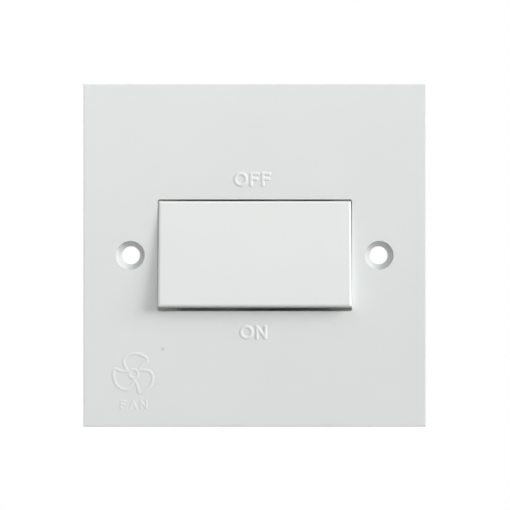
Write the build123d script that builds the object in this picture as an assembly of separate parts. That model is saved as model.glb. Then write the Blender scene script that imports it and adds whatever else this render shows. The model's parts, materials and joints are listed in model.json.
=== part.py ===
"""Three-pole fan isolator switch: a square moulded plate with one wide rocker, and the mechanism behind it.

Millimetres. The origin is the centre of the plate's wall face, +X to the right, +Y into the wall, +Z up.
The plate faces -Y. The rocker is drawn level, at mid travel, and then turned to its off position.
"""
import os
from math import atan2, cos, degrees, pi, radians, sin, sqrt

from build123d import *

# Front plate
plate_width = 84.0          # square outline at the wall
plate_lean = 0.5            # each side leans in by this much at the front
plate_depth = 8.0           # wall to front face
plate_face = 3.0            # thickness of the front
plate_rim = 2.0             # thickness of the side walls
plate_edge = 0.15           # bevel round the front face
fixing_centres = 60.3       # standard spacing of a flush box
fixing_bore = 4.4
fixing_head = 6.9           # flat-bottomed recess for the screw's head
fixing_head_depth = 2.0
fixing_relief = 6.0         # wider bore in the boss behind the face
fixing_boss_wall = 1.2

# Rocker
rocker_width = 46.7
rocker_height = 25.7
rocker_face = 2.0           # thickness of the face
rocker_wall = 1.6           # thickness of the skirt
rocker_skirt = 6.5          # face to the skirt's rear edge
rocker_edge = 0.6           # rounding of the face's edges
rocker_rib = 1.2            # stiffening rib along the middle
rocker_rib_depth = 3.5
rocker_tilt = 6.0           # degrees each way from level
rocker_proud = 1.5          # face above the plate, at mid travel
rocker_side_gap = 0.15
rocker_end_gap = 0.34
aperture_corner = 0.5
rocker_skirt_room = 0.7     # behind the skirt at its deepest
pivot_setback = 2.4         # plate's front face to the rocker's axis
trunnion_diameter = 2.2
trunnion_length = 1.9
trunnion_end_gap = 0.2
bearing_height = 8.0        # cheeks round the trunnion slots
bearing_depth = 1.6
bearing_wall = 1.0          # beyond the trunnion's end
keeper_wall = 1.3           # tabs of the housing that close the slots
keeper_height = 5.0
keeper_gap = 0.1
running_clearance = 0.05    # radial, where one piece turns or slides on another

# Spring plungers
plunger_diameter = 3.2
plunger_reach = 14.2        # rocker's axis to the plunger's tip
plunger_length = 10.2
plunger_bevel = 1.0         # at the tip
plunger_gap = 0.1           # tip to contact bar at mid travel
socket_wall = 1.2
socket_reach = 9.0          # rocker's axis to the socket's mouth
spring_wire = 0.45
spring_turns = 4
spring_runs = 7             # straight runs in each turn
spring_gap = 0.1            # round the spring and at its ends

# Contacts
pole_pitch = 15.0
bar_thickness = 1.2
bar_width = 6.0
bar_arm = 9.0               # pivot to contact tip
bar_tail = 7.5              # pivot to the free end
bar_tip_margin = 0.3
bar_tilt = 10.0             # degrees each way
bar_end_room = 0.8
ridge_radius = 0.5          # knife edge that the bar rocks on
tip_length = 2.8            # along the bar
tip_width = 4.0
tip_height = 0.6
tip_crown = 3.0             # radius of the curved face
fixed_tip_length = 3.2
fixed_tip_height = 0.65
contact_gap = 0.05          # left between bar and stop, or tip and tip, when seated

# Terminals
strip_thickness = 1.2
strip_margin = 0.6          # strip beyond the tip, and beyond the knife edge
terminal_width = 8.0
terminal_depth = 8.0
terminal_length = 8.5
terminal_fit = 0.1          # round the block in its pocket
wire_bore = 3.6
wire_bore_wall = 1.4        # brass in front of the wire
terminal_screw = 3.5
terminal_screw_length = 5.2
terminal_screw_head = 5.6
terminal_screw_head_height = 1.6
screw_slot_width = 0.8
screw_slot_depth = 0.9
screw_clearance = 0.05      # round a thread
screw_head_room = 0.3       # round a head

# Switch housing
housing_wall = 1.7          # above and below the terminals
housing_side = 2.4          # side walls
housing_back = 2.0
housing_corner = 1.2
cell_wall = 1.6             # between two poles
well_wall = 1.2
well_rise = 0.1             # raised row beyond the backed-off screws
wire_entry = 4.4            # square openings in the top and bottom walls
guide_wall = 1.2            # ribs beside each contact bar
guide_height = 3.0
guide_room = 0.3
post_thickness = 3.6        # posts of the plate that hold the terminals down
post_gap = 0.2              # rocker's aperture to the posts, and rocker to their feet
housing_screw = 2.5
housing_screw_head = 4.6
housing_screw_head_height = 1.8
housing_screw_grip = 9.0    # housing between screw head and plate boss
housing_screw_bite = 5.0
housing_boss_wall = 1.2
housing_boss_room = 0.2     # boss to the rocker's aperture

# Depths along Y, from the front face to the back
plate_front = -plate_depth
plate_back = plate_front + plate_face
pivot_y = plate_front + pivot_setback
face_reach = pivot_setback + rocker_proud
face_y = pivot_y - face_reach
face_back = face_y + rocker_face
skirt_back = face_y + rocker_skirt
tilt_sin, tilt_cos = sin(radians(rocker_tilt)), cos(radians(rocker_tilt))
skirt_deepest = pivot_y + (skirt_back - pivot_y) * tilt_cos + rocker_height / 2 * tilt_sin
housing_front = skirt_deepest + rocker_skirt_room

plunger_end = pivot_y + plunger_reach
plunger_start = plunger_end - plunger_length
bar_front = plunger_end + plunger_gap
ridge_y = bar_front + bar_thickness
bar_sin, bar_cos = sin(radians(bar_tilt)), cos(radians(bar_tilt))
tip_centre = tip_height - tip_crown
closed_y = ridge_y + tip_centre * bar_cos + bar_arm * bar_sin + tip_crown
strip_front = closed_y + contact_gap + fixed_tip_height
floor_y = strip_front + strip_thickness
stop_y = ridge_y + bar_tail * bar_sin + contact_gap
terminal_front = floor_y - terminal_depth
wire_y = terminal_front + wire_bore_wall + wire_bore / 2
screw_tip_y = wire_y + wire_bore / 2 + contact_gap
screw_seat_y = screw_tip_y + terminal_screw_length
housing_rear = floor_y + housing_back
well_rear = max(screw_seat_y + terminal_screw_head_height + well_rise, housing_rear + well_rise)

# Places across and up the plate
aperture_width = rocker_width + 2 * rocker_side_gap
aperture_height = 2 * (rocker_height / 2 * tilt_cos + face_reach * tilt_sin + rocker_end_gap)
slot_radius = trunnion_diameter / 2 + running_clearance
socket_radius = plunger_diameter / 2 + running_clearance
trunnion_end = rocker_width / 2 + trunnion_length
slot_end = trunnion_end + trunnion_end_gap
fixing_boss = fixing_relief + 2 * fixing_boss_wall
bar_top = bar_arm + tip_length / 2 + bar_tip_margin
terminal_inner = bar_top + bar_end_room
terminal_outer = terminal_inner + terminal_length
terminal_middle = (terminal_inner + terminal_outer) / 2
fixed_tip_z = bar_arm * bar_cos - tip_centre * bar_sin
cell_width = pole_pitch - cell_wall
pocket_width = terminal_width + 2 * terminal_fit
pocket_outer = terminal_outer + terminal_fit
housing_width = 2 * pole_pitch + cell_width + 2 * housing_side
housing_height = 2 * (pocket_outer + housing_wall)
well_radius = terminal_screw_head / 2 + screw_head_room
housing_pilot = housing_screw / 2 + screw_clearance
housing_boss = housing_pilot + housing_boss_wall
housing_screw_x = pole_pitch / 2
housing_screw_z = aperture_height / 2 + housing_boss + housing_boss_room
housing_screw_seat = housing_front + housing_screw_grip

poles = {"left": -pole_pitch, "middle": 0.0, "right": pole_pitch}
rows = (-1, 1)
terminal_places = [(x, k * terminal_middle) for x in poles.values() for k in rows]
housing_screw_places = [(i * housing_screw_x, -i * housing_screw_z) for i in rows]
rocker_axis = Axis((0, pivot_y, 0), (1, 0, 0))
bar_axis = Axis((0, ridge_y, 0), (1, 0, 0))


def slab(outline, front, back, lean=0.0):
    """Solid between two depths, from an outline seen from the front. It narrows forward by lean degrees."""
    return extrude(Plane.XZ.offset(-back) * outline, amount=back - front, taper=lean)


def copies(outline, places):
    """The outline repeated at places across and up the plate."""
    return Sketch() + [Pos(x, z) * outline for x, z in places]


def turned(outline, x=0.0, z=0.0):
    """Solid of revolution about an axis into the wall, from a closed outline of radius and depth."""
    return Pos(x, 0, z) * revolve(make_face(outline), Axis.Y)


def cross_rod(radius, low, high, y):
    """Round bar along X between two ends, at a depth, on the middle line of the plate."""
    return extrude(Plane.YZ.offset(low) * Pos(y, 0) * Circle(radius), amount=high - low)


def front_plate():
    """Hollow moulding with the rocker's aperture, its bearings, screw bosses and terminal posts."""
    lean = degrees(atan2(plate_lean, plate_depth))
    inside = plate_width - 2 * plate_rim
    plate = slab(Rectangle(plate_width, plate_width), plate_front, 0, lean)
    plate = chamfer(plate.faces().sort_by(Axis.Y)[0].edges(), plate_edge)
    plate -= slab(Rectangle(inside, inside), plate_back, 0, lean)

    fixing_places = [(i * fixing_centres / 2, 0) for i in rows]
    plate += slab(copies(Circle(fixing_boss / 2), fixing_places), plate_back, 0)
    plate += slab(copies(Circle(housing_boss), housing_screw_places), plate_back, housing_front)
    plate += terminal_posts()
    bearing_width = slot_end + bearing_wall - aperture_width / 2
    bearing_places = [(i * (aperture_width + bearing_width) / 2, 0) for i in rows]
    bearing_back = plate_back + bearing_depth
    plate += slab(copies(Rectangle(bearing_width, bearing_height), bearing_places), plate_back, bearing_back)

    aperture = RectangleRounded(aperture_width, aperture_height, aperture_corner)
    plate -= slab(aperture, plate_front, plate_back)
    plate -= slab(Rectangle(2 * slot_end, 2 * slot_radius), pivot_y, bearing_back)
    plate -= cross_rod(slot_radius, -slot_end, slot_end, pivot_y)
    pilot_end = housing_front - housing_screw_bite - screw_clearance
    plate -= slab(copies(Circle(housing_pilot), housing_screw_places), pilot_end, housing_front)
    head, bore, relief = fixing_head / 2, fixing_bore / 2, fixing_relief / 2
    seat = plate_front + fixing_head_depth
    hole = [(0, plate_front), (head, plate_front), (head, seat), (bore, seat), (bore, plate_back),
            (relief, plate_back), (relief, 0), (0, 0)]
    for x, z in fixing_places:
        plate -= turned(Polyline(*hole, close=True), x, z)
    return plate


def terminal_posts():
    """Posts behind the plate, with feet over the terminals that also close the view past the rocker."""
    post_inner = aperture_height / 2 + post_gap
    post_outer = post_inner + post_thickness
    foot_inner = rocker_height / 2 + post_gap
    posts = Part()
    for inner, front in ((post_inner, plate_back), (foot_inner, housing_front)):
        block = Rectangle(terminal_width, post_outer - inner)
        places = [(x, k * (inner + post_outer) / 2) for x in poles.values() for k in rows]
        posts += slab(copies(block, places), front, terminal_front - terminal_fit)
    return posts


def rocker():
    """Wide hollow key with two trunnions, a rib and three spring sockets, turned to its off position."""
    body = slab(Rectangle(rocker_width, rocker_height), face_y, skirt_back)
    body = fillet(body.faces().sort_by(Axis.Y)[0].edges(), rocker_edge)
    inside = Rectangle(rocker_width - 2 * rocker_wall, rocker_height - 2 * rocker_wall)
    body -= slab(inside, face_back, skirt_back)
    body += slab(Rectangle(rocker_width - rocker_wall, rocker_rib), face_back, face_back + rocker_rib_depth)
    for side in rows:
        low, high = sorted((side * (rocker_width / 2 - rocker_wall), side * trunnion_end))
        body += cross_rod(trunnion_diameter / 2, low, high, pivot_y)
    places = [(x, 0) for x in poles.values()]
    mouth = pivot_y + socket_reach
    body += slab(copies(Circle(socket_radius + socket_wall), places), face_back, mouth)
    body -= slab(copies(Circle(socket_radius), places), face_back, mouth)
    return body.rotate(rocker_axis, -rocker_tilt)


def switch_housing():
    """Open-fronted moulding: a cell for each pole, terminal pockets, screw wells and wire entries."""
    outline = RectangleRounded(housing_width, housing_height, housing_corner)
    housing = slab(outline, housing_front, housing_rear)
    row_size = 2 * (well_radius + well_wall)
    row_places = [(0, k * terminal_middle) for k in rows]
    raised_rows = copies(Rectangle(2 * pole_pitch + row_size, row_size), row_places)
    housing += slab(raised_rows, housing_rear, well_rear)

    cell_places = [(x, 0) for x in poles.values()]
    cells = copies(Rectangle(cell_width, 2 * (terminal_inner - terminal_fit)), cell_places)
    pockets = copies(Rectangle(pocket_width, 2 * pocket_outer), cell_places)
    housing -= slab(cells + pockets, housing_front, floor_y)
    housing -= slab(copies(Circle(well_radius), terminal_places), floor_y, well_rear)

    guide_x = bar_width / 2 + guide_room + guide_wall / 2
    guide_places = [(x + i * guide_x, 0) for x in poles.values() for i in rows]
    housing += slab(copies(Rectangle(guide_wall, guide_height), guide_places), bar_front, floor_y)

    head = housing_screw_head / 2 + screw_head_room
    housing -= slab(copies(Circle(housing_pilot), housing_screw_places), housing_front, housing_rear)
    housing -= slab(copies(Circle(head), housing_screw_places), housing_screw_seat, well_rear)

    for x in poles.values():
        entry = Pos(x, wire_y, -housing_height / 2) * Rectangle(wire_entry, wire_entry)
        housing -= extrude(entry, amount=housing_height)
    return housing + keepers()


def keepers():
    """Tabs on the housing's sides whose tongues close the rocker's trunnion slots from behind."""
    inner = housing_width / 2 - housing_side
    tab_front = housing_front - keeper_wall
    tab = Pos((inner + slot_end) / 2, 0) * Rectangle(slot_end - inner, keeper_height)
    tongue_inner = aperture_width / 2 + trunnion_end_gap
    tongue_width = trunnion_end - tongue_inner
    tongue_front = pivot_y + trunnion_diameter / 2 + keeper_gap
    tongue = Pos(tongue_inner + tongue_width / 2, 0) * Rectangle(tongue_width, 2 * (slot_radius - keeper_gap))
    right = slab(tab, tab_front, housing_front) + slab(tongue, tongue_front, tab_front)
    return right + mirror(right, Plane.YZ)


def terminal(strip, row, x):
    """Brass terminal: a block with wire bore and tapped hole in row 1 or -1, and a strip of side profile."""
    low, high = sorted((row * terminal_inner, row * terminal_outer))
    block = Pos(0, row * terminal_middle) * Rectangle(terminal_width, terminal_length)
    brass = slab(block, terminal_front, floor_y)
    brass += extrude(Plane.YZ * make_face(strip), amount=bar_width / 2, both=True)
    brass -= extrude(Plane((0, wire_y, low)) * Circle(wire_bore / 2), amount=high - low)
    tapped = terminal_screw / 2 + screw_clearance
    brass -= slab(Pos(0, row * terminal_middle) * Circle(tapped), wire_y, floor_y)
    return Pos(x, 0, 0) * brass


def load_terminal(x):
    """Upper terminal: its strip lies on the housing's floor under the fixed contact tip."""
    end = fixed_tip_z - fixed_tip_length / 2 - strip_margin
    strip = [(strip_front, end), (floor_y, end), (floor_y, terminal_inner), (strip_front, terminal_inner)]
    return terminal(Polyline(*strip, close=True), 1, x)


def line_terminal(x):
    """Lower terminal: its strip carries the bar's off stop and the knife edge that the bar rocks on."""
    stop_end = strip_margin - bar_tail * bar_cos
    end = ridge_radius + strip_margin
    strip = [(ridge_y, ridge_radius), (strip_front, ridge_radius), (strip_front, end), (floor_y, end),
             (floor_y, -terminal_inner), (stop_y, -terminal_inner), (stop_y, stop_end),
             (strip_front, stop_end), (strip_front, -ridge_radius), (ridge_y, -ridge_radius)]
    crest = ThreePointArc(strip[-1], (ridge_y - ridge_radius, 0), strip[0])
    return terminal(Polyline(*strip) + crest, -1, x)


def contact_bar(x):
    """Rocking bar with a half-round groove over the knife edge, in its open position."""
    middle = (bar_top - bar_tail) / 2
    bar = slab(Pos(0, middle) * Rectangle(bar_width, bar_top + bar_tail), bar_front, ridge_y)
    bar -= cross_rod(ridge_radius + running_clearance, -bar_width / 2, bar_width / 2, ridge_y)
    return Pos(x, 0, 0) * bar.rotate(bar_axis, bar_tilt)


def moving_tip(x):
    """Silver tip with a curved face, behind the bar's upper end, in its open position."""
    low, high = bar_arm - tip_length / 2, bar_arm + tip_length / 2
    rim = ridge_y + tip_centre + sqrt(tip_crown ** 2 - (tip_length / 2) ** 2)
    foot = Polyline((rim, low), (ridge_y, low), (ridge_y, high), (rim, high))
    face = ThreePointArc((rim, high), (ridge_y + tip_height, bar_arm), (rim, low))
    tip = extrude(Plane.YZ * make_face(foot + face), amount=tip_width / 2, both=True)
    return Pos(x, 0, 0) * tip.rotate(bar_axis, bar_tilt)


def fixed_tip(x):
    """Flat silver tip on the load terminal's strip."""
    outline = Pos(x, fixed_tip_z) * Rectangle(tip_width, fixed_tip_length)
    return slab(outline, strip_front - fixed_tip_height, strip_front)


def plunger(x):
    """Nylon pin with a bevelled tip, in the rocker's socket."""
    radius = plunger_diameter / 2
    outline = [(0, plunger_start), (radius, plunger_start), (radius, plunger_end - plunger_bevel),
               (radius - plunger_bevel, plunger_end), (0, plunger_end)]
    pin = turned(Polyline(*outline, close=True), x)
    return pin.rotate(rocker_axis, -rocker_tilt)


def plunger_spring(x):
    """Coil spring between the socket's floor and the plunger, its turns drawn as short straight runs."""
    coil_radius = plunger_diameter / 2 - spring_gap - spring_wire / 2
    start = face_back + spring_gap + spring_wire / 2
    end = plunger_start - spring_gap - spring_wire / 2
    runs = spring_turns * spring_runs
    places = []
    for i in range(runs + 1):
        angle = 2 * pi * i / spring_runs
        places.append((coil_radius * cos(angle), start + (end - start) * i / runs, coil_radius * sin(angle)))
    path = Polyline(*places)
    section = Plane(path @ 0, z_dir=path % 0) * RegularPolygon(spring_wire / 2, 4)
    wire = sweep(section, path=path, transition=Transition.RIGHT)
    return Pos(x, 0, 0) * wire.rotate(rocker_axis, -rocker_tilt)


def terminal_screws():
    """Six slotted clamp screws, backed off so that the wire bores are clear."""
    shank, head = terminal_screw / 2, terminal_screw_head / 2
    end = screw_seat_y + terminal_screw_head_height
    outline = [(0, screw_tip_y), (shank, screw_tip_y), (shank, screw_seat_y), (head, screw_seat_y),
               (head, end), (0, end)]
    screw = turned(Polyline(*outline, close=True))
    screw -= slab(Rectangle(terminal_screw_head, screw_slot_width), end - screw_slot_depth, end)
    return [Pos(x, 0, z) * screw for x, z in terminal_places]


def housing_screws():
    """Two slotted screws that hold the housing to the plate's bosses."""
    shank, head = housing_screw / 2, housing_screw_head / 2
    tip = housing_front - housing_screw_bite
    end = housing_screw_seat + housing_screw_head_height
    outline = [(0, tip), (shank, tip), (shank, housing_screw_seat), (head, housing_screw_seat),
               (head, end), (0, end)]
    screw = turned(Polyline(*outline, close=True))
    screw -= slab(Rectangle(housing_screw_head, screw_slot_width), end - screw_slot_depth, end)
    return [Pos(x, 0, z) * screw for x, z in housing_screw_places]


def main():
    """Write one file for each piece."""
    os.makedirs("parts", exist_ok=True)
    pieces = {
        "front_plate": front_plate(),
        "rocker": rocker(),
        "switch_housing": switch_housing(),
        "terminal_screws": Compound(children=terminal_screws()),
        "housing_screws": Compound(children=housing_screws()),
    }
    each_pole = (contact_bar, moving_tip, fixed_tip, line_terminal, load_terminal, plunger, plunger_spring)
    for side, x in poles.items():
        for make in each_pole:
            pieces[f"{make.__name__}_{side}"] = make(x)
    for name, piece in pieces.items():
        export_step(piece, f"parts/{name}.step")


main()
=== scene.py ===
"""Looks of a fan isolator switch: finishes, raised words and sign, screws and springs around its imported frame.

Metres. The plate faces -Y, +X is to the right and +Z is up, as in the frame.
"""
import json
import math

import bpy
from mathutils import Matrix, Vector

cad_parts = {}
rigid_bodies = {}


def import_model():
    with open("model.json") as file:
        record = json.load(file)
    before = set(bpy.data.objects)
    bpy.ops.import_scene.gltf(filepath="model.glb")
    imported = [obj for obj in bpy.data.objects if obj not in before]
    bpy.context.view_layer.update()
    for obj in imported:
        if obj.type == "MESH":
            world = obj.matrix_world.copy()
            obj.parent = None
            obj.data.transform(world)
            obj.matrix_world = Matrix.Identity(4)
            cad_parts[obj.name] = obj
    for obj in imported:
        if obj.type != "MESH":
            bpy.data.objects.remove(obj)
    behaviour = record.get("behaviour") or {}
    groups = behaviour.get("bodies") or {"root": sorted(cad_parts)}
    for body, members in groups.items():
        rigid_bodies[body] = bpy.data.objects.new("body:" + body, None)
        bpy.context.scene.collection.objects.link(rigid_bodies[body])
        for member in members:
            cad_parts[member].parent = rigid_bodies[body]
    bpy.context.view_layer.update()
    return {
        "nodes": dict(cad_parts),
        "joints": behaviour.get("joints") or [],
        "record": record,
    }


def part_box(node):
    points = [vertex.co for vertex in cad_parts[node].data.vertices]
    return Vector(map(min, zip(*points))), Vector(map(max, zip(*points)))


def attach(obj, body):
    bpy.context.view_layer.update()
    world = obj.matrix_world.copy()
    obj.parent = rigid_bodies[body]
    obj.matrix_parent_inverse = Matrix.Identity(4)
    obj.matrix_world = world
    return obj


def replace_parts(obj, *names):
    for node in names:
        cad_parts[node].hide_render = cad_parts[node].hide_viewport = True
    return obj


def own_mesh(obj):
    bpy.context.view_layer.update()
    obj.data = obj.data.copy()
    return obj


for leftover in list(bpy.data.objects):
    bpy.data.objects.remove(leftover)
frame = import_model()
joints = {joint["name"]: joint for joint in frame["joints"]}
MM = 0.001
FULL_TURN = 2 * math.pi
poles = ("left", "middle", "right")
plate_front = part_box("front_plate")[0].y

# Photograph's view
image_pixels = 510
plate_pixels = 342.6                 # width of the plate's front face in the photograph
plate_front_width = 83.0 * MM
view_aside = 0.05 * MM               # camera to the plate's middle, right and up
view_above = 0.07 * MM
camera_distance = 420 * MM           # from the plate's front face
camera_near = 10 * MM                # nothing nearer than this is drawn
sensor_width = 36.0

# Light
key_from = (64, 21)                  # degrees to the right and up, as seen from the front
key_spread = 33                      # degrees
key_strength = 2.92
front_from = (23, 13)                # soft light beside the camera
front_spread = 46
front_strength = 0.62
top_from = (-20, 60)
top_distance = 0.28
top_size = 0.32
top_power = 0.355
left_from = (-92, 12)                # light along the plate, for its left side
left_spread = 30
left_strength = 1.0
back_from = (180, 10)                # for the side that the photograph doesn't show
back_spread = 70
back_strength = 2.0
sun_distance = 1.0                   # where the distant lamps are drawn
sky_strength = 0.03
floor_drop = 160 * MM                # plate's middle to the floor
floor_size = 12.0
floor_white = (0.2, 0.55)            # from the middle, where the floor starts to pale and where it is white
floor_haze = 0.25                    # share of white in the floor near the middle
floor_grey = (206, 206, 205)

# Raised words and sign
word_rise = 0.15 * MM                # above the plate
word_line = 0.9 * MM
word_height = 3.6 * MM
word_gap = 0.3 * MM                  # between two letters
off_place = (-0.6 * MM, 18.4 * MM)   # from the plate's middle, across and up
on_place = (-0.4 * MM, -18.65 * MM)
letter_widths = {"O": 0.98, "F": 0.7, "N": 0.82, "A": 0.88}     # shares of the height
# Middles of the lines of each letter, as shares of its width and height. O is an ellipse.
letter_lines = {
    "F": [[(0, 0), (0, 1)], [(0.15, 1), (1, 1)], [(0.15, 0.53), (0.82, 0.53)]],
    "N": [[(0, 0), (0, 1)], [(0.06, 0.94), (0.94, 0.06)], [(1, 0), (1, 1)]],
    "A": [[(0, 0), (0.5, 1)], [(0.53, 0.94), (1, 0)], [(0.22, 0.34), (0.78, 0.34)]],
}
name_line = 0.6 * MM
name_height = 2.3 * MM
name_gap = 0.6 * MM
name_place = (-29.35 * MM, -36.2 * MM)
sign_rise = 0.054 * MM
sign_line = 0.8 * MM
sign_place = (-29.35 * MM, -28.75 * MM)
sign_blades = 3
hub_radius = 1.05 * MM
# Outline of one blade, from the hub round the tip and back: radius in millimetres and angle in degrees
blade_outline = [(1.6, 152), (3.2, 136), (4.4, 121), (4.9, 95), (4.95, 68), (4.75, 46), (3.0, 47), (1.6, 36)]
arc_steps = 48                       # points in a drawn ellipse
line_step = 0.2                      # between points along a line, as a share of its half width
line_blunt = 0.99                    # how far its ends close, where 1 is a point
line_weld = 0.01                     # points nearer than this share of the half width become one
line_sides = 16                      # points round a line's section
line_crease = 60                     # degrees between faces, above which an edge stays sharp

# Screws and springs, at the frame's sizes
screw_details = {"Thread Pitch": 0.6 * MM, "Thread Depth": 0.26 * MM, "Head Bevel": 0.25 * MM,
                 "Slot Width": 0.8 * MM, "Slot Depth": 0.9 * MM}
terminal_screw_sizes = {"Shank Radius": 1.75 * MM, "Shank Length": 5.2 * MM,
                        "Head Radius": 2.8 * MM, "Head Height": 1.6 * MM, "Seed": 4}
housing_screw_sizes = {"Shank Radius": 1.25 * MM, "Shank Length": 14.0 * MM,
                       "Head Radius": 2.3 * MM, "Head Height": 1.8 * MM, "Seed": 9}
bare_turns = 1.5                     # turns of the shank without thread
screw_turn = 0.7                     # how far a screw's slot may turn either way, in radians
head_sides = 48
shank_sides = 32
thread_sides = 4
thread_steps = 28                    # points in one turn
screw_crease = 35
spring_coil = 1.275 * MM             # radius at the middle of the wire
spring_wire = 0.225 * MM             # radius
spring_length = 5.25 * MM
spring_turns = 4
spring_steps = 32                    # points in one turn
wire_sides = 12
spring_crease = 60

# Marks
speck_place = (-22.3 * MM, plate_front, -22.7 * MM)
speck_core = 0.1 * MM
speck_edge = 0.75 * MM
speck_ragged = 0.16 * MM             # how uneven its edge is


class Flow:
    """One output socket in a node tree. Arithmetic on it adds Math nodes."""

    def __init__(self, tree, socket=None):
        self.tree = tree
        self.socket = socket

    def node(self, kind, settings=None, sockets=None, out=0):
        """Adds a node, with its settings first and then the values or links of its sockets.

        A list is several links to one socket.
        """
        made = self.tree.nodes.new(kind)
        for name, value in (settings or {}).items():
            setattr(made, name, value)
        for key, value in (sockets or {}).items():
            if not isinstance(value, (Flow, list)):
                made.inputs[key].default_value = value
                continue
            for flow in value if isinstance(value, list) else [value]:
                self.tree.links.new(flow.socket, made.inputs[key])
        return Flow(self.tree, made.outputs[out] if made.outputs else None)

    def math(self, operation, first, second):
        return self.node("ShaderNodeMath", {"operation": operation}, {0: first, 1: second})

    def __add__(self, other):
        return self.math("ADD", self, other)

    def __sub__(self, other):
        return self.math("SUBTRACT", self, other)

    def __rsub__(self, other):
        return self.math("SUBTRACT", other, self)

    def __mul__(self, other):
        return self.math("MULTIPLY", self, other)

    def __truediv__(self, other):
        return self.math("DIVIDE", self, other)

    def __rtruediv__(self, other):
        return self.math("DIVIDE", other, self)

    __radd__ = __add__
    __rmul__ = __mul__


def colour(red, green, blue):
    """Linear colour of an sRGB one given from 0 to 255."""
    levels = [value / 255 for value in (red, green, blue)]
    return (*[v / 12.92 if v <= 0.04045 else ((v + 0.055) / 1.055) ** 2.4 for v in levels], 1.0)


class Finish:
    """A material in the making, with the patterns that this object's finishes share."""

    def __init__(self, name, **constants):
        self.material = bpy.data.materials.new(name)
        self.material.use_nodes = True
        self.material.node_tree.nodes.clear()
        self.start = Flow(self.material.node_tree)
        self.place = self.start.node("ShaderNodeTexCoord", out="Object")
        self.shader = self.start.node("ShaderNodeBsdfPrincipled", None, constants)
        self.start.node("ShaderNodeOutputMaterial", None, {"Surface": self.shader})

    def noise(self, size, detail=2.0, stretch=(1.0, 1.0, 1.0)):
        """Smooth noise from 0 to 1 in blotches of about the given size, longer along an axis by its stretch."""
        scale = tuple(1 / s for s in stretch)
        place = self.start.node("ShaderNodeMapping", None, {"Vector": self.place, "Scale": scale})
        sockets = {"Vector": place, "Scale": 1 / size, "Detail": detail}
        return self.start.node("ShaderNodeTexNoise", None, sockets)

    def ramp(self, value, low, high):
        """0 below low and 1 above high, smoothly between them. Low may be the larger."""
        sockets = {"Value": value, "From Min": low, "From Max": high}
        return self.start.node("ShaderNodeMapRange", {"interpolation_type": "SMOOTHSTEP"}, sockets)

    def mix(self, share, first, second):
        """First colour where share is 0, second where it is 1."""
        sockets = {0: share, 6: first, 7: second}
        return self.start.node("ShaderNodeMix", {"data_type": "RGBA"}, sockets, out=2)

    def distance(self, point):
        sockets = {0: self.place, 1: point}
        return self.start.node("ShaderNodeVectorMath", {"operation": "DISTANCE"}, sockets, out="Value")

    def bump(self, height, depth, edge):
        """Normal of a surface roughened by height times depth, with its edges rounded to a small radius."""
        rounded = self.start.node("ShaderNodeBevel", {"samples": 6}, {"Radius": edge})
        sockets = {"Height": height, "Distance": depth, "Strength": 1.0, "Normal": rounded}
        return self.start.node("ShaderNodeBump", None, sockets)

    def wear(self, **sockets):
        """Links patterns to the shader's sockets, with underscores for spaces, and gives the material."""
        target = self.shader.socket.node.inputs
        for name, flow in sockets.items():
            self.start.tree.links.new(flow.socket, target[name.replace("_", " ")])
        return self.material


def plate_plastic():
    """White moulded plate: even satin gloss, a fine eroded grain and one grey speck."""
    finish = Finish("plate_plastic", **{"IOR": 1.5, "Specular IOR Level": 0.4})
    cloud = finish.noise(22 * MM)
    grain = finish.noise(0.16 * MM, 3.0)
    ragged = speck_ragged * finish.noise(0.3 * MM)
    speck = finish.ramp(finish.distance(speck_place) + ragged, speck_edge, speck_core)
    base = finish.mix(cloud, colour(223, 227, 226), colour(228, 231, 230))
    base = finish.mix(0.45 * speck, base, colour(160, 160, 158))
    return finish.wear(Base_Color=base, Roughness=0.36 + 0.1 * cloud + 0.05 * grain,
                       Normal=finish.bump(grain, 0.004 * MM, 0.15 * MM))


def raised_plastic():
    """Raised lines of the plate: smoother than its face, with a base colour a few levels paler as a painted
    highlight on their raised tops.
    """
    finish = Finish("raised_plastic", **{"IOR": 1.5, "Specular IOR Level": 0.4})
    cloud = finish.noise(3 * MM)
    grain = finish.noise(0.16 * MM, 3.0)
    # painted highlight: this base is a few levels paler than the plate's, for the light that the raised tops
    # catch
    base = finish.mix(cloud, colour(225, 229, 228), colour(230, 233, 233))
    return finish.wear(Base_Color=base, Roughness=0.34 + 0.08 * cloud + 0.04 * grain,
                       Normal=finish.bump(grain, 0.003 * MM, 0.1 * MM))


def rocker_plastic():
    """White moulded rocker: smoother and a little more neutral than the plate."""
    finish = Finish("rocker_plastic", **{"IOR": 1.5, "Specular IOR Level": 0.4})
    cloud = finish.noise(16 * MM)
    grain = finish.noise(0.14 * MM, 2.0)
    base = finish.mix(cloud, colour(226, 229, 227), colour(230, 232, 231))
    return finish.wear(Base_Color=base, Roughness=0.28 + 0.08 * cloud + 0.04 * grain,
                       Normal=finish.bump(grain, 0.002 * MM, 0.15 * MM))


def housing_plastic():
    """Off-white filled moulding: matt, with pale and dark filler grains and soft flow marks."""
    finish = Finish("housing_plastic", **{"IOR": 1.5, "Specular IOR Level": 0.35})
    flow_marks = finish.noise(9 * MM, 3.0, (1.0, 1.0, 2.5))
    filler = finish.noise(0.35 * MM, 2.0)
    grain = finish.noise(0.12 * MM, 3.0)
    base = finish.mix(flow_marks, colour(214, 213, 205), colour(228, 227, 220))
    base = finish.mix(0.5 * finish.ramp(filler, 0.62, 0.74), base, colour(176, 173, 163))
    return finish.wear(Base_Color=base, Roughness=0.5 + 0.15 * flow_marks + 0.1 * grain,
                       Normal=finish.bump(grain, 0.008 * MM, 0.2 * MM))


def drawn_metal(name, bright, dull, roughness, tarnish=0.6):
    """Metal with fine draw lines along Z and soft tarnish."""
    finish = Finish(name, Metallic=1.0)
    lines = finish.noise(0.09 * MM, 2.0, (1.0, 1.0, 60.0))
    patches = finish.noise(2.4 * MM, 4.0)
    base = finish.mix(tarnish * finish.ramp(patches, 0.35, 0.75), bright, dull)
    return finish.wear(Base_Color=base, Roughness=roughness + 0.14 * lines + 0.12 * patches,
                       Normal=finish.bump(lines, 0.003 * MM, 0.08 * MM))


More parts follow.
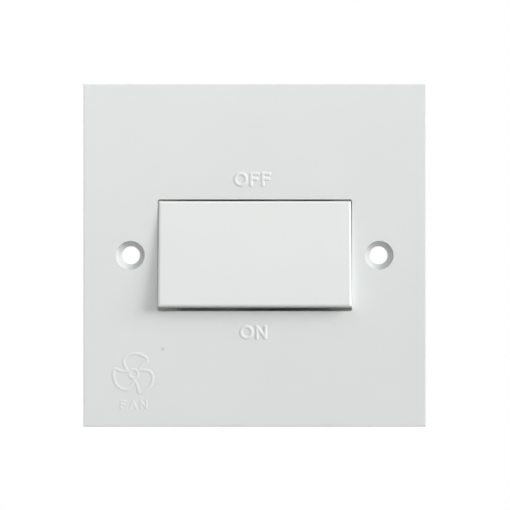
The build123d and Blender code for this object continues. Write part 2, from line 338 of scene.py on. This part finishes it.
def brass():
    return drawn_metal("brass", colour(226, 190, 118), colour(186, 144, 78), 0.2)


def silver():
    return drawn_metal("silver", colour(236, 234, 228), colour(190, 184, 172), 0.22)


def spring_steel():
    return drawn_metal("spring_steel", colour(182, 184, 188), colour(140, 141, 146), 0.24)


def plated_steel():
    """Zinc-plated screws: pale grey with a faint warm and cool bloom."""
    finish = Finish("plated_steel", Metallic=1.0)
    bloom = finish.noise(1.6 * MM, 2.0)
    crystals = finish.noise(0.12 * MM, 3.0)
    base = finish.mix(bloom, colour(206, 208, 212), colour(214, 208, 192))
    return finish.wear(Base_Color=base, Roughness=0.26 + 0.16 * crystals,
                       Normal=finish.bump(crystals, 0.004 * MM, 0.08 * MM))


def nylon():
    """Natural nylon plungers: milky, with a faint machined grain."""
    finish = Finish("nylon", **{"Subsurface Weight": 0.25, "Subsurface Scale": 1.0 * MM, "IOR": 1.53})
    cloud = finish.noise(1.8 * MM)
    rings = finish.noise(0.15 * MM, 2.0, (8.0, 1.0, 8.0))
    base = finish.mix(cloud, colour(228, 223, 206), colour(236, 233, 220))
    return finish.wear(Base_Color=base, Roughness=0.34 + 0.1 * rings,
                       Normal=finish.bump(rings, 0.004 * MM, 0.1 * MM))


class Recipe:
    """A geometry tree with named inputs, run on a source mesh to make one plain piece."""

    def __init__(self, name, **inputs):
        self.tree = bpy.data.node_groups.new(name, "GeometryNodeTree")
        self.start = Flow(self.tree)
        self.tree.interface.new_socket("Geometry", in_out="OUTPUT", socket_type="NodeSocketGeometry")
        self.keys = {}
        for label, kind in {"Geometry": "Geometry", **inputs}.items():
            label = label.replace("_", " ")
            item = self.tree.interface.new_socket(label, in_out="INPUT", socket_type="NodeSocket" + kind)
            self.keys[label] = item.identifier
        self.entry = self.node("NodeGroupInput").socket.node

    def input(self, label):
        return Flow(self.tree, self.entry.outputs[label])

    def node(self, kind, settings=None, sockets=None, out=0):
        return self.start.node(kind, settings, sockets, out)

    def vector(self, x=0.0, y=0.0, z=0.0):
        return self.node("ShaderNodeCombineXYZ", None, {"X": x, "Y": y, "Z": z})

    def moved(self, geometry, **places):
        """The geometry with Translation, Rotation or Scale applied."""
        return self.node("GeometryNodeTransform", None, {"Geometry": geometry, **places})

    def joined(self, *parts):
        return self.node("GeometryNodeJoinGeometry", None, {"Geometry": list(parts)})

    def fused(self, *solids):
        """One solid of several that may overlap, or of the instances in one geometry."""
        settings = {"operation": "UNION", "solver": "MANIFOLD"}
        return self.node("GeometryNodeMeshBoolean", settings, {"Mesh 2": list(solids)})

    def cut(self, solid, tool):
        """The solid less the tool."""
        settings = {"operation": "DIFFERENCE", "solver": "MANIFOLD"}
        return self.node("GeometryNodeMeshBoolean", settings, {"Mesh 1": solid, "Mesh 2": tool})

    def swept(self, path, profile, scale=1.0):
        """Solid along a path, whose profile's own Y stays square to the path's plane."""
        level = self.node("GeometryNodeSetCurveNormal", {"mode": "Z_UP"}, {"Curve": path})
        return self.node("GeometryNodeCurveToMesh", None,
                         {"Curve": level, "Profile Curve": profile, "Scale": scale, "Fill Caps": True})

    def ring(self, steps, radius):
        return self.node("GeometryNodeCurvePrimitiveCircle", None, {"Resolution": steps, "Radius": radius})

    def placed(self, points, piece, rotation):
        return self.node("GeometryNodeInstanceOnPoints", None,
                         {"Points": points, "Instance": piece, "Rotation": rotation})

    def finish(self, geometry, crease):
        """Ends the tree: real copies, smooth faces with creases above an angle in degrees, and the material."""
        real = self.node("GeometryNodeRealizeInstances", None, {"Geometry": geometry})
        smooth = self.node("GeometryNodeSetShadeSmooth", None, {"Geometry": real})
        angle = self.node("GeometryNodeInputMeshEdgeAngle")
        sharp = self.node("FunctionNodeCompare", {"operation": "GREATER_THAN"},
                          {"A": angle, "B": math.radians(crease)})
        creased = self.node("GeometryNodeSetShadeSmooth", {"domain": "EDGE"},
                            {"Geometry": smooth, "Selection": sharp, "Shade Smooth": False})
        painted = self.node("GeometryNodeSetMaterial", None,
                            {"Geometry": creased, "Material": self.input("Material")})
        self.node("NodeGroupOutput", None, {"Geometry": painted})

    def make(self, name, source, **values):
        """Runs the tree on a mesh and gives the finished piece, at the origin."""
        holder = bpy.data.objects.new(name + "_source", source)
        bpy.context.scene.collection.objects.link(holder)
        modifier = holder.modifiers.new(name, "NODES")
        modifier.node_group = self.tree
        for label, value in values.items():
            modifier[self.keys[label.replace("_", " ")]] = value
        depsgraph = bpy.context.evaluated_depsgraph_get()
        mesh = bpy.data.meshes.new_from_object(holder.evaluated_get(depsgraph), depsgraph=depsgraph)
        holder.modifiers.remove(modifier)
        bpy.data.objects.remove(holder)
        mesh.name = name
        piece = bpy.data.objects.new(name, mesh)
        bpy.context.scene.collection.objects.link(piece)
        return piece


def raised_lines():
    """Half-round lines on the plate with round ends, repeated about their middle and fused where they meet."""
    recipe = Recipe("raised_lines", Line_Width="Float", Rise="Float", Copies="Int", Place="Vector",
                    Material="Material")
    half = recipe.input("Line Width") * 0.5
    rise = recipe.input("Rise")
    lines = recipe.node("GeometryNodeMeshToCurve", None, {"Mesh": recipe.input("Geometry")})
    smooth = recipe.node("GeometryNodeCurveSplineType", {"spline_type": "CATMULL_ROM"}, {"Curve": lines})
    even = recipe.node("GeometryNodeResampleCurve", {"mode": "LENGTH"},
                       {"Curve": smooth, "Length": half * line_step})
    copies = recipe.input("Copies")
    points = recipe.node("GeometryNodePoints", None, {"Count": copies})
    turn = recipe.node("GeometryNodeInputIndex") * FULL_TURN / copies
    turned = recipe.placed(points, even, recipe.vector(z=turn))
    paths = recipe.node("GeometryNodeRealizeInstances", None, {"Geometry": turned})
    strokes = recipe.node("GeometryNodeSplitToInstances", {"domain": "CURVE"},
                          {"Geometry": paths, "Group ID": recipe.node("GeometryNodeInputIndex")})
    profile = recipe.moved(recipe.ring(line_sides, 1.0), Scale=recipe.vector(half, rise, 1.0))
    along = recipe.node("GeometryNodeSplineParameter", out="Length")
    to_end = along.math("MINIMUM", along, recipe.node("GeometryNodeSplineLength") - along)
    rounding = along.math("MAXIMUM", 1 - to_end / half, 0.0)
    width = along.math("POWER", 1 - line_blunt * rounding * rounding, 0.5)
    closed = recipe.node("GeometryNodeInputSplineCyclic")
    drawn = recipe.fused(recipe.swept(strokes, profile, along.math("MAXIMUM", width, closed)))
    drawn = recipe.node("GeometryNodeMergeByDistance", None, {"Geometry": drawn, "Distance": half * line_weld})
    upright = recipe.moved(drawn, Rotation=(math.pi / 2, 0, 0), Translation=recipe.input("Place"))
    recipe.finish(upright, line_crease)
    return recipe


def slotted_screws():
    """Slotted cheese-head screws, heads towards +Y, one at each point and each turned its own way."""
    recipe = Recipe("slotted_screws", Shank_Radius="Float", Shank_Length="Float", Head_Radius="Float",
                    Head_Height="Float", Head_Bevel="Float", Thread_Pitch="Float", Thread_Depth="Float",
                    Slot_Width="Float", Slot_Depth="Float", Seed="Int", Material="Material")
    shank, length = recipe.input("Shank Radius"), recipe.input("Shank Length")
    head, height, bevel = (recipe.input("Head " + part) for part in ("Radius", "Height", "Bevel"))
    pitch, depth = recipe.input("Thread Pitch"), recipe.input("Thread Depth")
    root = shank - depth
    core = recipe.node("GeometryNodeMeshCylinder", None,
                       {"Vertices": shank_sides, "Radius": root, "Depth": length})
    core = recipe.moved(core, Translation=recipe.vector(z=length * -0.5))
    sockets = {"Resolution": thread_steps, "Rotations": length / pitch - bare_turns, "Start Radius": root,
               "End Radius": root, "Height": length - bare_turns * pitch}
    helix = recipe.moved(recipe.node("GeometryNodeCurveSpiral", None, sockets),
                         Translation=recipe.vector(z=pitch - length))
    thread = recipe.swept(helix, recipe.ring(thread_sides, depth))
    barrel = recipe.node("GeometryNodeMeshCylinder", None,
                         {"Vertices": head_sides, "Radius": head, "Depth": height - bevel})
    barrel = recipe.moved(barrel, Translation=recipe.vector(z=(height - bevel) * 0.5))
    sockets = {"Vertices": head_sides, "Radius Bottom": head, "Radius Top": head - bevel, "Depth": bevel}
    rim = recipe.node("GeometryNodeMeshCone", None, sockets)
    rim = recipe.moved(rim, Translation=recipe.vector(z=height - bevel))
    slot_size = recipe.vector(head * 3, recipe.input("Slot Width"), recipe.input("Slot Depth") * 2)
    slot = recipe.node("GeometryNodeMeshCube", None, {"Size": slot_size})
    slot = recipe.moved(slot, Translation=recipe.vector(z=height))
    screw = recipe.joined(core, thread, recipe.cut(recipe.fused(barrel, rim), slot))
    points = recipe.node("GeometryNodeMeshToPoints", None, {"Mesh": recipe.input("Geometry")})
    spin = recipe.node("FunctionNodeRandomValue", {"data_type": "FLOAT"},
                       {"Min": -screw_turn, "Max": screw_turn, "Seed": recipe.input("Seed")}, out=1)
    recipe.finish(recipe.placed(points, screw, recipe.vector(-math.pi / 2, spin)), screw_crease)
    return recipe


def coil_springs():
    """Round-wire compression springs, one at each point, leaning about X."""
    recipe = Recipe("coil_springs", Coil_Radius="Float", Wire_Radius="Float", Length="Float", Turns="Float",
                    Lean="Float", Material="Material")
    length, radius = recipe.input("Length"), recipe.input("Coil Radius")
    sockets = {"Resolution": spring_steps, "Rotations": recipe.input("Turns"), "Start Radius": radius,
               "End Radius": radius, "Height": length}
    helix = recipe.moved(recipe.node("GeometryNodeCurveSpiral", None, sockets),
                         Translation=recipe.vector(z=length * -0.5))
    wire = recipe.swept(helix, recipe.ring(wire_sides, recipe.input("Wire Radius")))
    points = recipe.node("GeometryNodeMeshToPoints", None, {"Mesh": recipe.input("Geometry")})
    recipe.finish(recipe.placed(points, wire, recipe.vector(recipe.input("Lean"))), spring_crease)
    return recipe


def mesh_of(name, strokes):
    """Mesh of open and closed lines: each stroke is its points and whether it closes."""
    vertices, edges = [], []
    for points, closed in strokes:
        first = len(vertices)
        vertices += [(x, y, 0.0) for x, y in points]
        edges += [(first + i, first + i + 1) for i in range(len(points) - 1)]
        if closed:
            edges.append((len(vertices) - 1, first))
    mesh = bpy.data.meshes.new(name)
    mesh.from_pydata(vertices, edges, [])
    return mesh


def points_mesh(name, places):
    """Mesh of loose points."""
    mesh = bpy.data.meshes.new(name)
    mesh.from_pydata(places, [], [])
    return mesh


def ellipse(x, y, across, up):
    """Closed stroke round a centre, with its half sizes."""
    angles = [FULL_TURN * i / arc_steps for i in range(arc_steps)]
    return [(x + across * math.cos(a), y + up * math.sin(a)) for a in angles], True


def lengthened(points, extra):
    """Open stroke with both ends carried on straight, for its round ends."""
    first, last = Vector(points[0]), Vector(points[-1])
    first += (first - Vector(points[1])).normalized() * extra
    last += (last - Vector(points[-2])).normalized() * extra
    return [tuple(first), *points[1:-1], tuple(last)]


def letter(sign, width, height):
    """Strokes of one capital in a box from 0, 0, along the middles of its lines."""
    if sign == "O":
        return [ellipse(width / 2, height / 2, width / 2, height / 2)]
    return [([(x * width, y * height) for x, y in line], False) for line in letter_lines[sign]]


def word_strokes(word, height, line, gap):
    """Strokes of a word centred on 0, 0, where height, gaps and widths include the thickness of the line."""
    strokes, at = [], 0.0
    for sign in word:
        width = letter_widths[sign] * height
        for points, closed in letter(sign, width - line, height - line):
            points = points if closed else lengthened(points, line / 2)
            strokes.append(([(at + line / 2 + x, y) for x, y in points], closed))
        at += width + gap
    half_width, half_height = (at - gap) / 2, (height - line) / 2
    return [([(x - half_width, y - half_height) for x, y in points], closed) for points, closed in strokes]


def add_words(recipe, material):
    """OFF above the rocker, ON below it and a plain name under the sign."""
    words = [("OFF", word_height, word_line, word_gap, word_rise, off_place),
             ("ON", word_height, word_line, word_gap, word_rise, on_place),
             ("FAN", name_height, name_line, name_gap, sign_rise, name_place)]
    for word, height, line, gap, rise, (x, z) in words:
        name = "word_" + word.lower()
        strokes = mesh_of(name, word_strokes(word, height, line, gap))
        piece = recipe.make(name, strokes, Line_Width=line, Rise=rise, Copies=1, Place=(x, plate_front, z),
                            Material=material)
        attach(piece, "plate")


def add_fan_sign(recipe, material):
    """Three-blade fan sign: one blade's outline repeated about a hub ring."""
    blade = [(r * MM * math.cos(math.radians(a)), r * MM * math.sin(math.radians(a)))
             for r, a in blade_outline]
    sizes = {"Line_Width": sign_line, "Rise": sign_rise, "Material": material,
             "Place": (sign_place[0], plate_front, sign_place[1])}
    parts = {"fan_sign_blades": ([(lengthened(blade, sign_line / 2), False)], sign_blades),
             "fan_sign_hub": ([ellipse(0, 0, hub_radius, hub_radius)], 1)}
    for name, (strokes, copies) in parts.items():
        piece = recipe.make(name, mesh_of(name, strokes), Copies=copies, **sizes)
        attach(piece, "plate")


def screw_places(node, head_height):
    """Seats of the screws in a node: the middle of each separate solid, a head's height before its rear."""
    mesh = frame["nodes"][node].data
    group = list(range(len(mesh.vertices)))
    by_place = {}
    for vertex in mesh.vertices:
        key = tuple(round(c, 6) for c in vertex.co)
        group[vertex.index] = by_place.setdefault(key, vertex.index)

    def leader(i):
        while group[i] != i:
            group[i] = group[group[i]]
            i = group[i]
        return i

    for edge in mesh.edges:
        a, b = (leader(i) for i in edge.vertices)
        group[a] = b
    solids = {}
    for vertex in mesh.vertices:
        solids.setdefault(leader(vertex.index), []).append(vertex.co)
    places = []
    for corners in solids.values():
        low = Vector(map(min, *corners))
        high = Vector(map(max, *corners))
        places.append(((low.x + high.x) / 2, high.y - head_height, (low.z + high.z) / 2))
    return sorted(places)


def add_screws(material):
    """Threaded screws in the places of the plain ones."""
    recipe = slotted_screws()
    kinds = {"terminal_screws": terminal_screw_sizes, "housing_screws": housing_screw_sizes}
    for node, sizes in kinds.items():
        places = screw_places(node, sizes["Head Height"])
        piece = recipe.make(node + "_threaded", points_mesh(node, places), Material=material, **sizes,
                            **screw_details)
        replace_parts(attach(piece, "plate"), node)


def add_springs(material):
    """Coil springs in the places of the plain ones, each leaning along its plunger's slide and carried with the
    rocker.
    """
    recipe = coil_springs()
    for side in poles:
        node = "plunger_spring_" + side
        joint = joints["plunger_" + side + "_slide"]
        axis = Vector(joint["axis"])
        low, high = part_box(node)
        middle = (low + high) / 2
        piece = recipe.make(node + "_coil", points_mesh(node, [middle]), Coil_Radius=spring_coil,
                            Wire_Radius=spring_wire, Length=spring_length, Turns=float(spring_turns),
                            Lean=math.atan2(-axis.y, axis.z), Material=material)
        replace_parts(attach(piece, "rocker"), node)
        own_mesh(piece)


def dress_nodes(finishes):
    """Gives every CAD node the finish of its slot."""
    for part in frame["record"]["subparts"]:
        mesh = frame["nodes"][part["node"]].data
        mesh.materials.clear()
        mesh.materials.append(finishes[part["material_slot"]])


def seen_directly(tree):
    """1 for rays from the camera, and those seen in metal or through clear things, and 0 for others."""
    path = tree.node("ShaderNodeLightPath").socket.node
    camera, metal, clear = (Flow(tree.tree, path.outputs[name])
                            for name in ("Is Camera Ray", "Is Glossy Ray", "Is Transmission Ray"))
    return tree.math("MAXIMUM", camera, tree.math("MAXIMUM", metal, clear))


def add_lamp(name, kind, aim, distance, **settings):
    """Soft lamp aimed at the middle of the plate's face."""
    across, up = (math.radians(a) for a in aim)
    out = Vector((math.sin(across) * math.cos(up), -math.cos(across) * math.cos(up), math.sin(up)))
    lamp = bpy.data.lights.new(name, kind)
    for setting, value in settings.items():
        setattr(lamp, setting, value)
    holder = bpy.data.objects.new(name, lamp)
    holder.location = Vector((0, plate_front, 0)) + out * distance
    holder.rotation_euler = out.to_track_quat("Z", "Y").to_euler()
    holder.visible_camera = False
    bpy.context.scene.collection.objects.link(holder)


def add_sky():
    """Even soft light all round, which the camera sees as plain white."""
    world = bpy.data.worlds.new("studio")
    world.use_nodes = True
    world.node_tree.nodes.clear()
    tree = Flow(world.node_tree)
    strength = sky_strength + (1 - sky_strength) * seen_directly(tree)
    light = tree.node("ShaderNodeBackground", None, {"Color": (1, 1, 1, 1), "Strength": strength})
    tree.node("ShaderNodeOutputWorld", None, {"Surface": light})
    bpy.context.scene.world = world


def add_floor():
    """Pale floor well below the plate, clear from below, and bright to the camera so that it meets the sky."""
    half = floor_size / 2
    corners = [(-half, -half), (half, -half), (half, half), (-half, half)]
    mesh = bpy.data.meshes.new("floor")
    mesh.from_pydata([(x, y, -floor_drop) for x, y in corners], [], [(0, 1, 2, 3)])
    floor = bpy.data.objects.new("floor", mesh)
    bpy.context.scene.collection.objects.link(floor)
    material = bpy.data.materials.new("pale_floor")
    material.use_nodes = True
    material.node_tree.nodes.clear()
    tree = Flow(material.node_tree)
    place = tree.node("ShaderNodeTexCoord", out="Object")
    away = tree.node("ShaderNodeVectorMath", {"operation": "LENGTH"}, {0: place}, out="Value")
    near, far = floor_white
    white = tree.node("ShaderNodeMapRange", {"interpolation_type": "SMOOTHSTEP"},
                      {"Value": away, "From Min": near, "From Max": far, "To Min": floor_haze})
    paint = tree.node("ShaderNodeBsdfDiffuse", None, {"Color": colour(*floor_grey)})
    glow = tree.node("ShaderNodeEmission", None, {"Color": (1, 1, 1, 1)})
    surface = tree.node("ShaderNodeMixShader", None, {0: white * seen_directly(tree), 1: paint, 2: glow})
    below = tree.node("ShaderNodeNewGeometry", out="Backfacing")
    clear = tree.node("ShaderNodeBsdfTransparent")
    surface = tree.node("ShaderNodeMixShader", None, {0: below, 1: surface, 2: clear})
    tree.node("ShaderNodeOutputMaterial", None, {"Surface": surface})
    mesh.materials.append(material)


def add_camera():
    """Straight-on camera with the photograph's framing."""
    camera = bpy.data.cameras.new("camera")
    seen_width = plate_front_width * image_pixels / plate_pixels
    camera.sensor_width = sensor_width
    camera.lens = sensor_width * camera_distance / seen_width
    camera.clip_start = camera_near
    holder = bpy.data.objects.new("camera", camera)
    holder.location = (view_aside, plate_front - camera_distance, view_above)
    holder.rotation_euler = (math.pi / 2, 0, 0)
    bpy.context.scene.collection.objects.link(holder)
    bpy.context.scene.camera = holder


finishes = {make.__name__: make() for make in (plate_plastic, raised_plastic, rocker_plastic, housing_plastic,
                                               brass, silver, nylon, spring_steel, plated_steel)}
dress_nodes(finishes)
lines = raised_lines()
add_words(lines, finishes["raised_plastic"])
add_fan_sign(lines, finishes["raised_plastic"])
add_screws(finishes["plated_steel"])
add_springs(finishes["spring_steel"])

add_camera()
add_sky()
add_floor()
for name, aim, spread, strength in (("key", key_from, key_spread, key_strength),
                                    ("front", front_from, front_spread, front_strength),
                                    ("left", left_from, left_spread, left_strength),
                                    ("back", back_from, back_spread, back_strength)):
    add_lamp(name, "SUN", aim, sun_distance, angle=math.radians(spread), energy=strength)
add_lamp("top", "AREA", top_from, top_distance, size=top_size, energy=top_power)
bpy.context.scene.view_settings.view_transform = "Standard"
